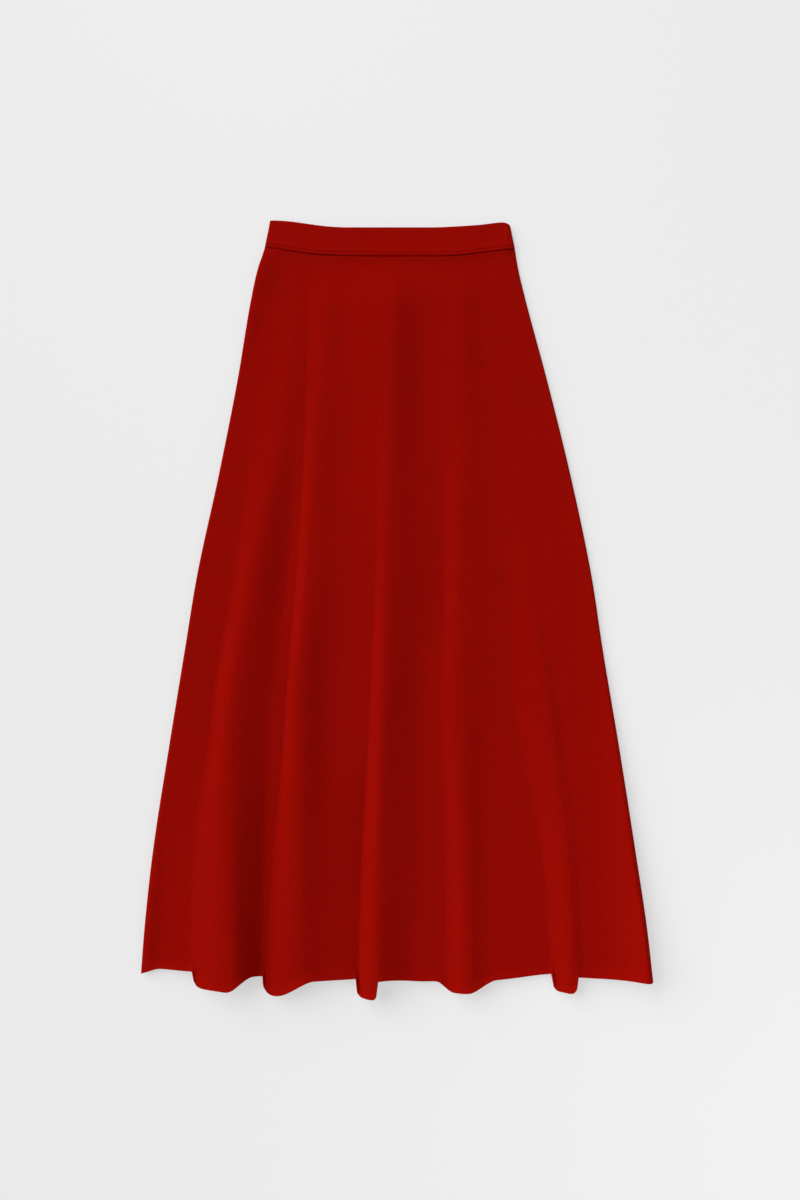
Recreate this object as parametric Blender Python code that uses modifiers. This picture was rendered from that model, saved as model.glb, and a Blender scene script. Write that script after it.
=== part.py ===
"""A flared midi skirt in compact knit, laid flat on its back panel.

+X runs to the right of the skirt as it is seen, +Y up to the waist and +Z off the surface it lies on.
A place along the skirt is its drop, which is how far it lies below the top of the waistband at the
middle of the front. The tables and the shaping functions are in millimetres; the meshes are in metres.
"""

from typing import NamedTuple

import bmesh
import bpy
import numpy as np

MM = 0.001

# The cloth, and how the pieces lie on each other.
CLOTH = 1.6
BAND = 2.6
SEAM_GAP = 0.3
FRONT_FACE = CLOTH + SEAM_GAP + CLOTH
WAIST_RISE = 0.6
WAIST_RISE_LENGTH = 60.0
BACK_HEM_SHORT = 3.0

# The skirt's length, and where its waist lies from the middle of the whole.
HEM_DROP = 900.0
WAIST_Y = 453.5

# How finely the cloth is divided: the rows of a panel, and the columns of each curve of its section.
ROWS = 20
FRONT_COLUMNS = [1, 3, 3] + [2, 6, 6] * 5 + [2, 6, 3, 1]
BACK_COLUMNS = [1, 3, 12, 3, 1]
BAND_COLUMNS = 26

KNIT_RED = (0.297, 0.003, 0.0009)

# The shape of the curves.
QUARTER_ROUND = 0.55
EVEN_REACH = 1 / 3
RIM_UPRIGHT = 0.4
FLUTE_START = 28.0
FLUTE_RISE = 56.0
ROLL_LIFT = 2.0
ROLL_REACHES = (0.5, 0.25)
SETTLING_PASSES = 5


class Side(NamedTuple):
    """The outline at one drop, and the soft roll along each side edge.

    A roll has its height, how far in its foot lies, and how high the cloth lies at that foot.
    """

    drop: float
    left: float
    left_roll: float
    left_foot: float
    left_rise: float
    right: float
    right_roll: float
    right_foot: float
    right_rise: float
    bend: float


SIDES = (
    Side(-8, -151.3, 4.3, 10, 0, 136.0, 4.3, 10, 0, 2.2),
    Side(24, -157.8, 4.3, 10, 0, 142.5, 4.3, 10, 0, 2.2),
    Side(50, -166.2, 4.5, 10, 0, 147.0, 4.4, 10, 0, 2.4),
    Side(86, -174.1, 4.8, 10, 0, 155.6, 4.6, 12, 0, 2.8),
    Side(182, -190.3, 5.4, 10, 0.3, 181.3, 5.0, 16, 0, 3.0),
    Side(296, -212.8, 6.4, 11, 1.0, 209.4, 5.4, 20, 0, 3.2),
    Side(416, -238.7, 7.4, 12, 1.5, 234.5, 5.9, 26, 0.3, 3.6),
    Side(506, -253.5, 8.2, 13, 2.0, 248.2, 7.0, 34, 1.0, 4.0),
    Side(626, -273.0, 9.2, 14, 2.5, 268.0, 12.0, 46, 3.0, 4.8),
    Side(746, -291.5, 9.6, 18, 3.2, 286.4, 18.5, 56, 5.5, 6.0),
    Side(836, -301.5, 9.6, 20, 3.6, 299.5, 23.0, 60, 6.0, 6.8),
    Side(905, -306.8, 9.6, 22, 4.0, 307.0, 26.5, 62, 6.0, 7.4),
)


class Waist(NamedTuple):
    """The edges of the waistband at one place across it."""

    x: float
    front_top: float
    back_top: float
    seam: float


WAIST = (
    Waist(-157, -5.0, -8.0, 23.5),
    Waist(-148, -7.9, -9.9, 24.5),
    Waist(-130, -7.4, -9.0, 27.5),
    Waist(-95, -3.2, -4.3, 32.0),
    Waist(-58, -0.9, -0.3, 33.5),
    Waist(43, -0.9, 0.1, 34.0),
    Waist(75, -2.2, -1.2, 33.0),
    Waist(101, -4.0, -3.0, 30.0),
    Waist(128, -6.8, -5.6, 26.8),
    Waist(136, -4.0, -3.2, 25.8),
    Waist(142.5, 2.6, 2.6, 25.4),
)


class Hem(NamedTuple):
    """How low the hem lies between the flutes, at one place across it."""

    x: float
    drop: float


HEM = (
    Hem(-306, 894.5),
    Hem(-283, 888.0),
    Hem(-254, 889.5),
    Hem(-168, 896.5),
    Hem(-96, 900.0),
    Hem(-14, 898.5),
    Hem(35, 902.0),
    Hem(125, 900.0),
    Hem(190, 894.5),
    Hem(233, 898.0),
    Hem(306, 901.5),
)


class FluteRow(NamedTuple):
    """A flute at one drop.

    It has the place and the height of its crest, and for each flank its width and how high its foot lies.
    """

    drop: float
    crest: float
    height: float
    left: float
    left_foot: float
    right: float
    right_foot: float


class Hang(NamedTuple):
    """How a flute's hem hangs lower than beside it: from where to where, between which it is lowest."""

    start: float
    low: float
    rising: float
    end: float
    depth: float


class Flute(NamedTuple):
    """One raised fold of the front panel.

    A flank's fullness is the reach of its curve at the crest and at the foot, as shares of its width: a
    long one rounds softly and a short one turns sharply.
    """

    rows: tuple[FluteRow, ...]
    left_full: tuple[float, float]
    right_full: tuple[float, float]
    hang: Hang


FLUTES = (
    Flute((
        FluteRow(75, -124, 0, 18, 0, 8, 0),
        FluteRow(240, -139, 1.8, 36, 0.5, 20, 1),
        FluteRow(410, -173, 8, 25, 1.5, 44, 0),
        FluteRow(580, -196, 13, 26, 2.2, 48, 1),
        FluteRow(745, -198, 18.5, 48, 3.2, 42, 0),
        FluteRow(905, -194, 22.5, 58, 4, 28, 0),
    ), (0.5, 0.3), (0.35, 0.4), Hang(-243, -238, -203, -172, 18.5)),
    Flute((
        FluteRow(75, -72, 4, 36, 0, 12, 4.6),
        FluteRow(240, -92, 5, 18, 1, 44, 3.5),
        FluteRow(410, -104, 11, 15, 1, 62, 3),
        FluteRow(580, -116, 12, 20, 0, 56, 2.5),
        FluteRow(745, -116, 14.5, 31, 0, 38, 6),
        FluteRow(905, -115, 17, 43, 0, 28, 6),
    ), (0.65, 0.12), (0.3, 0.6), Hang(-162, -157, -148, -96, 20)),
    Flute((
        FluteRow(75, -1, 9.5, 18, 8.4, 36, 4.5),
        FluteRow(240, -5, 7.5, 16, 6, 44, 0.5),
        FluteRow(410, -10, 11, 16, 5.5, 52, 1),
        FluteRow(580, -14.5, 14, 18, 1, 56, 3),
        FluteRow(745, -20.5, 17, 21, 0, 56, 3),
        FluteRow(905, -23, 18, 21, 0, 46, 3),
    ), (0.6, 0.3), (0.28, 0.6), Hang(-46, -41, -32, -19, 21)),
    Flute((
        FluteRow(75, 76, 3.8, 20, 4, 32, 0.3),
        FluteRow(240, 80, 3, 32, 0.5, 36, 0),
        FluteRow(410, 76, 7, 22, 2, 40, 0.5),
        FluteRow(580, 76, 8.5, 27, 3, 50, 1),
        FluteRow(745, 82, 10, 26, 2, 32, 3.5),
        FluteRow(905, 85, 11.5, 28, 1, 34, 4.5),
    ), (0.45, 0.4), (0.32, 0.55), Hang(50, 71, 86, 122, 13.5)),
    Flute((
        FluteRow(75, 118, 0.2, 3, 0.2, 3, 0.1),
        FluteRow(240, 146, 0, 20, 0, 14, 0),
        FluteRow(410, 160, 0.6, 34, 0, 16, 0.2),
        FluteRow(580, 183, 4.5, 44, 0, 14, 2.6),
        FluteRow(745, 204, 8, 39, 0, 14, 6),
        FluteRow(905, 212, 10.5, 36, 0, 16, 6.5),
    ), (0.4, 0.35), (0.3, 0.3), Hang(187, 191, 213, 220, 19)),
)


class BandPoint(NamedTuple):
    """A point of the waistband's section: in from its top or foot edge, and out from its inner face."""

    edge: str
    inset: float
    out: float


BAND_SECTION = (
    BandPoint("top", 0.6, 0.0),
    BandPoint("top", 0.0, 1.2),
    BandPoint("top", 0.5, 2.2),
    BandPoint("top", 2.0, 2.6),
    BandPoint("foot", 16.0, 2.6),
    BandPoint("foot", 5.6, 2.6),
    BandPoint("foot", 4.8, 1.8),
    BandPoint("foot", 4.0, 1.8),
    BandPoint("foot", 3.2, 2.7),
    BandPoint("foot", 1.6, 3.0),
    BandPoint("foot", 0.4, 2.7),
    BandPoint("foot", 0.0, 1.6),
    BandPoint("foot", 0.0, 0.0),
    BandPoint("foot", 12.0, 0.0),
)
BAND_LENGTH = 294.0
BAND_END_ROUND = 3.0
BAND_END_THIN = 0.35


def through(table, key, column, at):
    """The column of a table at any value of its key, on a smooth curve through its rows."""
    keys = np.array([getattr(row, key) for row in table], float)
    values = np.array([getattr(row, column) for row in table], float)
    steps = np.diff(values) / np.diff(keys)
    slopes = np.zeros(len(keys))
    slopes[1:-1] = np.where(steps[:-1] * steps[1:] > 0, (steps[:-1] + steps[1:]) / 2, 0)
    slopes[0], slopes[-1] = steps[0], steps[-1]
    at = np.clip(at, keys[0], keys[-1])
    i = np.clip(np.searchsorted(keys, at) - 1, 0, len(keys) - 2)
    width = keys[i + 1] - keys[i]
    t = (at - keys[i]) / width
    ease = t * t * (3 - 2 * t)
    bend = t * (1 - t) ** 2 * width * slopes[i] - t * t * (1 - t) * width * slopes[i + 1]
    return values[i] * (1 - ease) + values[i + 1] * ease + bend


def smooth_step(t):
    """0 below 0, 1 above 1, and a soft rise between them."""
    t = np.clip(t, 0, 1)
    return t * t * (3 - 2 * t)


def face_height(drop):
    """How high the front panel's outer face lies between the flutes: it climbs to the thicker band."""
    return FRONT_FACE + WAIST_RISE * smooth_step((WAIST_RISE_LENGTH - drop) / WAIST_RISE_LENGTH + 0.5)


def eased_span(start, end, slopes=(0, 0), reaches=(EVEN_REACH, EVEN_REACH)):
    """The four controls of a curve with a slope at each end, and its reach there as shares of its width."""
    length = end[0] - start[0]
    leave, arrive = reaches[0] * length, reaches[1] * length
    first = (start[0] + leave, start[1] + leave * slopes[0])
    last = (end[0] - arrive, end[1] - arrive * slopes[1])
    return start, first, last, end


def bend_span(upright, level):
    """The four controls of a quarter round, from its upright end to its level end."""
    across, rise = level[0] - upright[0], level[1] - upright[1]
    return (
        upright,
        (upright[0], upright[1] + QUARTER_ROUND * rise),
        (level[0] - QUARTER_ROUND * across, level[1]),
        level,
    )


def straight_span(start, end):
    """The four controls of a straight line."""
    third, two_thirds = (
        tuple(start[axis] + share * (end[axis] - start[axis]) for axis in (0, 1)) for share in (1 / 3, 2 / 3)
    )
    return start, third, two_thirds, end


def edge_knots(side, drop, up):
    """The rim, the start of the bend, and the end of the bend of a panel at one side edge.

    The front panel turns down and the back panel turns up, and their rims meet half way up the roll.
    """
    inward = 1 if side == "left" else -1
    edge = through(SIDES, "drop", side, drop)
    bend = through(SIDES, "drop", "bend", drop)
    roll = through(SIDES, "drop", side + "_roll", drop)
    rim = (roll + up * SEAM_GAP) / 2
    level = roll if up > 0 else 0 * roll
    return (edge, rim), (edge, rim + up * RIM_UPRIGHT), (edge + inward * bend, level)


def roll_foot(side, drop, face):
    """Where the roll along a side edge has its foot."""
    inward = 1 if side == "left" else -1
    edge, width, rise = (through(SIDES, "drop", side + end, drop) for end in ("", "_foot", "_rise"))
    return edge + inward * width, face + rise


def flute_knots(flute, drop, face):
    """The left foot, the crest and the right foot of a flute, which all rise from the waist seam."""
    crest, height, left, left_foot, right, right_foot = (
        through(flute.rows, "drop", column, drop) for column in FluteRow._fields[1:]
    )
    raised = smooth_step((drop - FLUTE_START) / FLUTE_RISE)
    return (
        (crest - left, face + raised * left_foot),
        (crest, face + raised * height),
        (crest + right, face + raised * right_foot),
    )


def flute_reaches(flute, drop):
    """The reaches of its flanks at the left foot, either side of the crest and the right foot."""
    shaped = smooth_step(2 * through(flute.rows, "drop", "height", drop) / flute.rows[-1].height)
    reach = [EVEN_REACH + (full - EVEN_REACH) * shaped for full in flute.left_full + flute.right_full]
    return (reach[1], reach[0]), (reach[2], reach[3])


def front_spans(drop):
    """The curves of the front panel's section at these drops, from the left rim to the right rim.

    The cloth between two flutes is straight. A flank takes on its slope, but never dips below its foot.
    """
    face = face_height(drop)
    rim, turn, top = edge_knots("left", drop, 1)
    right_rim, right_turn, right_top = edge_knots("right", drop, 1)
    knots = [flute_knots(flute, drop, face) for flute in FLUTES]
    starts = [roll_foot("left", drop, face)] + [right for _, _, right in knots]
    ends = [left for left, _, _ in knots] + [roll_foot("right", drop, face)]
    slopes = [(end[1] - start[1]) / (end[0] - start[0]) for start, end in zip(starts, ends)]
    spans = [straight_span(rim, turn), bend_span(turn, top), eased_span(top, starts[0], (0, slopes[0]))]
    for i, (left, crest, right) in enumerate(knots):
        left_reaches, right_reaches = flute_reaches(FLUTES[i], drop)
        spans += [
            straight_span(starts[i], left),
            eased_span(left, crest, (np.maximum(slopes[i], 0), 0), left_reaches),
            eased_span(crest, right, (0, np.minimum(slopes[i + 1], 0)), right_reaches),
        ]
    lift = ROLL_LIFT * (right_top[1] - ends[-1][1]) / (right_top[0] - ends[-1][0])
    return spans + [
        straight_span(starts[-1], ends[-1]),
        eased_span(ends[-1], right_top, (slopes[-1], lift), ROLL_REACHES),
        bend_span(right_turn, right_top)[::-1],
        straight_span(right_turn, right_rim),
    ]


def back_spans(drop):
    """The curves of the back panel's section: flat where it rests, and turned up at both sides."""
    left_rim, left_turn, left_level = edge_knots("left", drop, -1)
    right_rim, right_turn, right_level = edge_knots("right", drop, -1)
    return [
        straight_span(left_rim, left_turn),
        bend_span(left_turn, left_level),
        straight_span(left_level, right_level),
        bend_span(right_turn, right_level)[::-1],
        straight_span(right_turn, right_rim),
    ]


def section_points(spans, span, place):
    """The x and z of each column, from the span that it lies in and its place along that span."""
    x = np.empty(spans[0][0][0].shape)
    z = np.empty(x.shape)
    for i, controls in enumerate(spans):
        here = span == i
        t = place[here]
        s = 1 - t
        for result, axis in ((x, 0), (z, 1)):
            start, leave, arrive, end = (control[axis][..., here] for control in controls)
            result[..., here] = s**3 * start + 3 * s * s * t * leave + 3 * s * t * t * arrive + t**3 * end
    return x, z


def panel_points(spans_at, columns, hem_at):
    """The outer face of a panel as rows of (x, drop, z) from the seam to the hem.

    Each column has its own drops, because the seam and the hem are curved. They depend on where the
    column lies, which depends on its drops, so the two are worked out in turn until they agree.
    """
    span = np.repeat(np.arange(len(columns)), columns)
    place = np.concatenate([np.arange(count) / count for count in columns])
    span = np.append(span, len(columns) - 1)
    place = np.append(place, 1.0)
    down = np.linspace(0, 1, ROWS)[:, None]
    drop = down * HEM_DROP * np.ones(len(span))
    for _ in range(SETTLING_PASSES):
        x, z = section_points(spans_at(drop), span, place)
        top = through(WAIST, "x", "seam", x[0]) + SEAM_GAP
        foot = hem_at(x[-1])
        drop = top + down * (foot - top)
    return np.stack([x, drop, z], axis=-1)


def front_hem(x):
    """How low the front hem lies: it hangs lower at the flutes."""
    hem = through(HEM, "x", "drop", x)
    for flute in FLUTES:
        hang = flute.hang
        falling = smooth_step((x - hang.start) / (hang.low - hang.start))
        hem += hang.depth * falling * smooth_step((hang.end - x) / (hang.end - hang.rising))
    return hem


def back_hem(x):
    """How low the back hem lies, just hidden by the front one."""
    return through(HEM, "x", "drop", x) - BACK_HEM_SHORT


def placed(points):
    """The points (x, drop, z) in millimetres as places in metres."""
    return np.stack([points[..., 0], WAIST_Y - points[..., 1], points[..., 2]], axis=-1) * MM


def shaped_grid(points):
    """A grid primitive whose vertices are moved to the given rows of points, first row at the top."""
    rows, columns = points.shape[:2]
    mesh = bmesh.new()
    bmesh.ops.create_grid(mesh, x_segments=columns - 1, y_segments=rows - 1, size=0.5)
    mesh.verts.ensure_lookup_table()
    for vertex in mesh.verts:
        column = round((vertex.co.x + 0.5) * (columns - 1))
        row = round((0.5 - vertex.co.y) * (rows - 1))
        vertex.co = points[row, column]
    return mesh


def knit_material(name):
    """A dense matte knit in deep red."""
    material = bpy.data.materials.new(name)
    material.use_nodes = True
    shader = material.node_tree.nodes["Principled BSDF"]
    shader.inputs["Base Color"].default_value = (*KNIT_RED, 1)
    shader.inputs["Roughness"].default_value = 0.85
    shader.inputs["Metallic"].default_value = 0.0
    return material


def finished(mesh, name, collection):
    """The mesh as a smooth object in the collection, with its own material."""
    data = bpy.data.meshes.new(name)
    mesh.to_mesh(data)
    mesh.free()
    data.shade_smooth()
    piece = bpy.data.objects.new(name, data)
    piece.data.materials.append(knit_material(name + "_knit"))
    collection.objects.link(piece)
    return piece


def panel(name, points, faces_up, collection):
    """A cloth panel: its outer face as a grid, given the cloth's thickness on the inner side."""
    mesh = shaped_grid(placed(points))
    if not faces_up:
        bmesh.ops.reverse_faces(mesh, faces=mesh.faces[:])
    piece = finished(mesh, name, collection)
    wall = piece.modifiers.new("cloth", "SOLIDIFY")
    wall.thickness = CLOTH * MM
    wall.offset = -1
    wall.use_even_offset = True
    return piece


def band_points(top_column, faces_up):
    """Closed sections of a waistband half, one column for each, as rows of (x, drop, z)."""
    at_end = BAND_END_ROUND / BAND_LENGTH * np.array([0, 0.12, 0.4, 1])
    across = np.concatenate([at_end, np.linspace(0, 1, BAND_COLUMNS)[1:-1], 1 - at_end[::-1]])
    section = BAND_SECTION + BAND_SECTION[:1]
    points = np.empty((len(section), len(across), 3))
    for row, point in enumerate(section):
        x = (across - 0.5) * BAND_LENGTH
        for _ in range(SETTLING_PASSES):
            if point.edge == "top":
                drop = through(WAIST, "x", top_column, x) + point.inset
            else:
                drop = through(WAIST, "x", "seam", x) - point.inset
            left = through(SIDES, "drop", "left", drop)
            right = through(SIDES, "drop", "right", drop)
            x = left + across * (right - left)
        from_end = np.minimum(across, 1 - across) * (right - left)
        round_off = np.sqrt(1 - (1 - np.clip(from_end / BAND_END_ROUND, 0, 1)) ** 2)
        full = BAND_END_THIN + (1 - BAND_END_THIN) * round_off
        if faces_up:
            z = BAND + SEAM_GAP + point.out * full
        else:
            z = BAND - min(point.out, BAND) * full
        points[row] = np.stack([x, drop, z], axis=-1)
    return points


def waistband(name, top_column, faces_up, collection):
    """Half of the waistband: its section swept across, welded into a tube and closed at both ends."""
    mesh = shaped_grid(placed(band_points(top_column, faces_up)))
    bmesh.ops.remove_doubles(mesh, verts=mesh.verts[:], dist=1e-6)
    bmesh.ops.holes_fill(mesh, edges=[edge for edge in mesh.edges if edge.is_boundary], sides=0)
    bmesh.ops.recalc_face_normals(mesh, faces=mesh.faces[:])
    return finished(mesh, name, collection)


def clear_scene():
    """Leaves no object from the file that the script was started in."""
    for existing in list(bpy.data.objects):
        bpy.data.objects.remove(existing, do_unlink=True)


def build_skirt():
    """Every piece of the skirt, in one collection."""
    clear_scene()
    skirt = bpy.data.collections.new("flared_midi_skirt")
    bpy.context.scene.collection.children.link(skirt)
    panel("skirt_front", panel_points(front_spans, FRONT_COLUMNS, front_hem), True, skirt)
    panel("skirt_back", panel_points(back_spans, BACK_COLUMNS, back_hem), False, skirt)
    waistband("waistband_front", "front_top", True, skirt)
    waistband("waistband_back", "back_top", False, skirt)


build_skirt()
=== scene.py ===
"""A flared midi skirt in compact deep red knit, laid flat on its back panel.

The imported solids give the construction. Here each of them is replaced by a finer shell on the same form,
with the soft creases, rounded edges, linked seams and knit that the solids leave out, under soft studio
light. Shapes are worked out in millimetres: x runs to the right, z off the surface that the skirt lies on,
and a place along the skirt is its drop, which is how far it lies below the top of the waistband's middle.
"""

import logging
import math
from dataclasses import dataclass
from enum import Enum
from typing import Any, Callable, Sequence

import bmesh
import bpy
import numpy as np
from mathutils import Matrix, Vector


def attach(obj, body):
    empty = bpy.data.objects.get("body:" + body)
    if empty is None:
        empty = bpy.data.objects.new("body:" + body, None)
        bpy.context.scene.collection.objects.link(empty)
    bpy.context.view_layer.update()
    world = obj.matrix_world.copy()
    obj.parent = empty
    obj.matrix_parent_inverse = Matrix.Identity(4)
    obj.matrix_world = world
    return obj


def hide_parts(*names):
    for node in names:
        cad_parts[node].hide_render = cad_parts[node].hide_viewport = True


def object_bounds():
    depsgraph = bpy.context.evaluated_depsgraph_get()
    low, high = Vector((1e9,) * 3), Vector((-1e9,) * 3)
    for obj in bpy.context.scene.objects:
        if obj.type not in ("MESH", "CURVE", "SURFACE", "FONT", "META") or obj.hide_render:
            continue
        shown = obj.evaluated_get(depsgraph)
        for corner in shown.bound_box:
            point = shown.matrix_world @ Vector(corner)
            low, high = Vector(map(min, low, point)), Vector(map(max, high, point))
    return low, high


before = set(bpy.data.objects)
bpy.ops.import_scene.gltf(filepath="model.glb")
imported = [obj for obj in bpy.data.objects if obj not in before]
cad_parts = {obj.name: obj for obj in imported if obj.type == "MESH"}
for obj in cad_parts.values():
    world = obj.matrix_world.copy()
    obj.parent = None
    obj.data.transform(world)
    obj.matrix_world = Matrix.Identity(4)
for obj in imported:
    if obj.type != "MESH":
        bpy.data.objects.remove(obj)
CAD_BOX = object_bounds()

log = logging.getLogger("skirt")

Array = np.ndarray
Point = tuple[Array, Array]
Pair = tuple[Array | float, Array | float]
Colour = tuple[float, float, float]

MM = 0.001
WELD = 1e-7
BODY = "root"
CLOTH_MAP = "cloth"

# How thick the cloth and the doubled band are, and the gaps between the halves of the band and the rims.
CLOTH = 1.6
BAND = 2.6
BAND_GAP = 0.3
RIM_GAP = 0.1

# How high the front panel's face lies between its flutes, and where the top and the hems of the skirt lie.
FRONT_FACE = 4.6
WAIST_Y = 453.5
HEM_DROP = 900.0
BACK_HEM_SHORT = 3.0

# The reach of an even curve and of a quarter round, as shares of their width, and how square a corner is.
EVEN_REACH = 1 / 3
QUARTER_ROUND = 0.55
CORNER_POWER = 4

# The drop where the flutes start to rise, how far on they stand at their full height, and the share of a
# flute's height at the hem at which its flanks have their own shape.
FLUTE_START = 34.0
FLUTE_RISE = 60.0
FLUTE_SHAPED = 0.5


# ---------------------------------------------------------------- sizes


@dataclass(frozen=True)
class SideRow:
    """The outline at one drop, and the soft roll along each side edge.

    A roll has its height, how far in its foot lies, and how high the cloth lies at that foot. The bend is
    how far in from the edge the cloth has turned level.
    """

    drop: float
    left: float
    left_roll: float
    left_foot: float
    left_rise: float
    right: float
    right_roll: float
    right_foot: float
    right_rise: float
    bend: float


@dataclass(frozen=True)
class WaistRow:
    """The edges of the waistband at one place across it."""

    x: float
    front_top: float
    back_top: float
    seam: float


@dataclass(frozen=True)
class HemRow:
    """How low the hem lies between the flutes, at one place across it."""

    x: float
    drop: float


def smooth_step(t: Array | float) -> Array:
    """Gives 0 below 0, 1 above 1, and a soft rise between them."""
    t = np.clip(t, 0.0, 1.0)
    return t * t * (3.0 - 2.0 * t)


class Table:
    """Rows with named columns, read on a smooth curve at any value of their key column."""

    def __init__(self, key: str, rows: Sequence[Any]) -> None:
        """Keeps the rows, which are in the order of their key.

        Args:
            key: the name of the column that the others are read against.
            rows: one object for each row, with its columns as attributes.
        """
        self.rows = rows
        self.places = self._column(key)

    def _column(self, name: str) -> Array:
        """One column as an array."""
        return np.array([getattr(row, name) for row in self.rows], float)

    def at(self, column: str, place: Array | float) -> Array:
        """Reads one column.

        Args:
            column: the name of the column.
            place: values of the key, held within the table's own.

        Returns:
            The column there, on a curve that is level where the column turns back.
        """
        keys, values = self.places, self._column(column)
        steps = np.diff(values) / np.diff(keys)
        slopes = np.zeros(len(keys))
        slopes[1:-1] = np.where(steps[:-1] * steps[1:] > 0, (steps[:-1] + steps[1:]) / 2, 0)
        slopes[0], slopes[-1] = steps[0], steps[-1]
        place = np.clip(place, keys[0], keys[-1])
        i = np.clip(np.searchsorted(keys, place) - 1, 0, len(keys) - 2)
        width = keys[i + 1] - keys[i]
        t = (place - keys[i]) / width
        ease = smooth_step(t)
        bend = t * (1 - t) ** 2 * width * slopes[i] - t * t * (1 - t) * width * slopes[i + 1]
        return values[i] * (1 - ease) + values[i + 1] * ease + bend


SIDES = Table("drop", (
    SideRow(-8, -151.3, 4.3, 26, 0, 136.0, 4.3, 10, 0, 2.2),
    SideRow(24, -157.8, 5.4, 30, 0, 142.5, 4.3, 10, 0, 2.2),
    SideRow(50, -166.2, 7.4, 34, 0, 147.0, 4.4, 10, 0, 2.4),
    SideRow(86, -174.1, 6.4, 28, 0, 155.6, 4.6, 12, 0, 2.8),
    SideRow(182, -190.3, 5.0, 11, 0.3, 181.3, 5.0, 16, 0, 3.0),
    SideRow(296, -212.8, 5.5, 11, 1.0, 209.4, 5.4, 20, 0, 3.2),
    SideRow(416, -238.7, 6.1, 12, 1.5, 234.5, 5.9, 26, 0.3, 3.6),
    SideRow(506, -253.5, 6.6, 13, 2.0, 248.2, 7.0, 34, 1.0, 4.0),
    SideRow(626, -273.0, 7.0, 15, 3.0, 268.0, 12.0, 46, 3.0, 4.8),
    SideRow(746, -291.5, 7.4, 19, 2.6, 286.4, 18.5, 56, 5.5, 6.0),
    SideRow(836, -301.5, 7.4, 22, 2.0, 299.5, 24.5, 60, 6.0, 6.8),
    SideRow(905, -306.8, 7.4, 23, 1.2, 307.0, 29.0, 62, 6.0, 7.4),
))

WAIST = Table("x", (
    WaistRow(-157, -5.0, -8.0, 23.5),
    WaistRow(-148, -7.9, -9.9, 24.5),
    WaistRow(-130, -7.4, -9.0, 27.5),
    WaistRow(-95, -3.2, -4.3, 32.0),
    WaistRow(-58, -0.9, -0.3, 33.5),
    WaistRow(43, -0.9, 0.1, 34.0),
    WaistRow(75, -2.2, -1.2, 33.0),
    WaistRow(101, -4.0, -3.0, 30.0),
    WaistRow(128, -6.8, -5.6, 26.8),
    WaistRow(136, -4.0, -3.2, 25.8),
    WaistRow(142.5, 2.6, 2.6, 25.4),
))

HEM = Table("x", (
    HemRow(-306, 894.5),
    HemRow(-283, 888.0),
    HemRow(-254, 889.5),
    HemRow(-208, 891.0),
    HemRow(-168, 896.5),
    HemRow(-96, 900.0),
    HemRow(-14, 898.5),
    HemRow(35, 902.0),
    HemRow(125, 900.0),
    HemRow(190, 894.5),
    HemRow(233, 898.0),
    HemRow(306, 901.5),
))


@dataclass(frozen=True)
class FluteRow:
    """A flute at one drop.

    It has the place and the height of its crest, and for each flank its width and how high its foot lies.
    """

    drop: float
    crest: float
    height: float
    left: float
    left_foot: float
    right: float
    right_foot: float


def round_corner(share: Array) -> Array:
    """Rises from 0 to 1 like a rounded corner, upright where it starts."""
    return (1 - (1 - np.clip(share, 0, 1)) ** CORNER_POWER) ** (1 / CORNER_POWER)


@dataclass(frozen=True)
class Hang:
    """How a flute's hem hangs lower than the hem beside it.

    It drops from start to low and comes up from rising to end. A side has the shape of a rounded corner
    where the flute's flank is steep, and otherwise of a soft step.
    """

    start: float
    low: float
    rising: float
    end: float
    depth: float
    left_side: Callable[[Array], Array] = round_corner
    right_side: Callable[[Array], Array] = smooth_step

    def at(self, x: Array) -> Array:
        """How much lower the hem hangs at these places across."""
        down = self.left_side((x - self.start) / (self.low - self.start))
        return self.depth * down * self.right_side((self.end - x) / (self.end - self.rising))


@dataclass(frozen=True)
class Flute:
    """One raised fold of the front panel.

    A flank's fullness is the reach of its curve at the crest and at the foot, as shares of its width: a
    long one rounds softly and a short one turns sharply.
    """

    rows: Table
    left_full: tuple[float, float]
    right_full: tuple[float, float]
    hang: Hang

    def knots(self, drop: Array, face: Array) -> tuple[Point, Point, Point]:
        """Works out the points between which the flute's flanks are curved.

        Args:
            drop: the places down, in millimetres.
            face: how high the panel's face lies there.

        Returns:
            The (x, z) of the left foot, the crest and the right foot.
        """
        crest = self.rows.at("crest", drop)
        raised = smooth_step((drop - FLUTE_START) / FLUTE_RISE)
        return (
            (crest - self.rows.at("left", drop), face + raised * self.rows.at("left_foot", drop)),
            (crest, face + raised * self.rows.at("height", drop)),
            (crest + self.rows.at("right", drop), face + raised * self.rows.at("right_foot", drop)),
        )

    def reaches(self, drop: Array) -> tuple[Array, Array, Array, Array]:
        """Works out how full the flanks' curves are, which is even where the flute is still low.

        Args:
            drop: the places down, in millimetres.

        Returns:
            The reaches at the left foot, to the left and to the right of the crest, and at the right foot.
        """
        at_hem = self.rows.rows[-1].height
        shaped = smooth_step(self.rows.at("height", drop) / (FLUTE_SHAPED * at_hem))
        reach = [EVEN_REACH + (full - EVEN_REACH) * shaped for full in self.left_full + self.right_full]
        return reach[1], reach[0], reach[2], reach[3]


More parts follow.
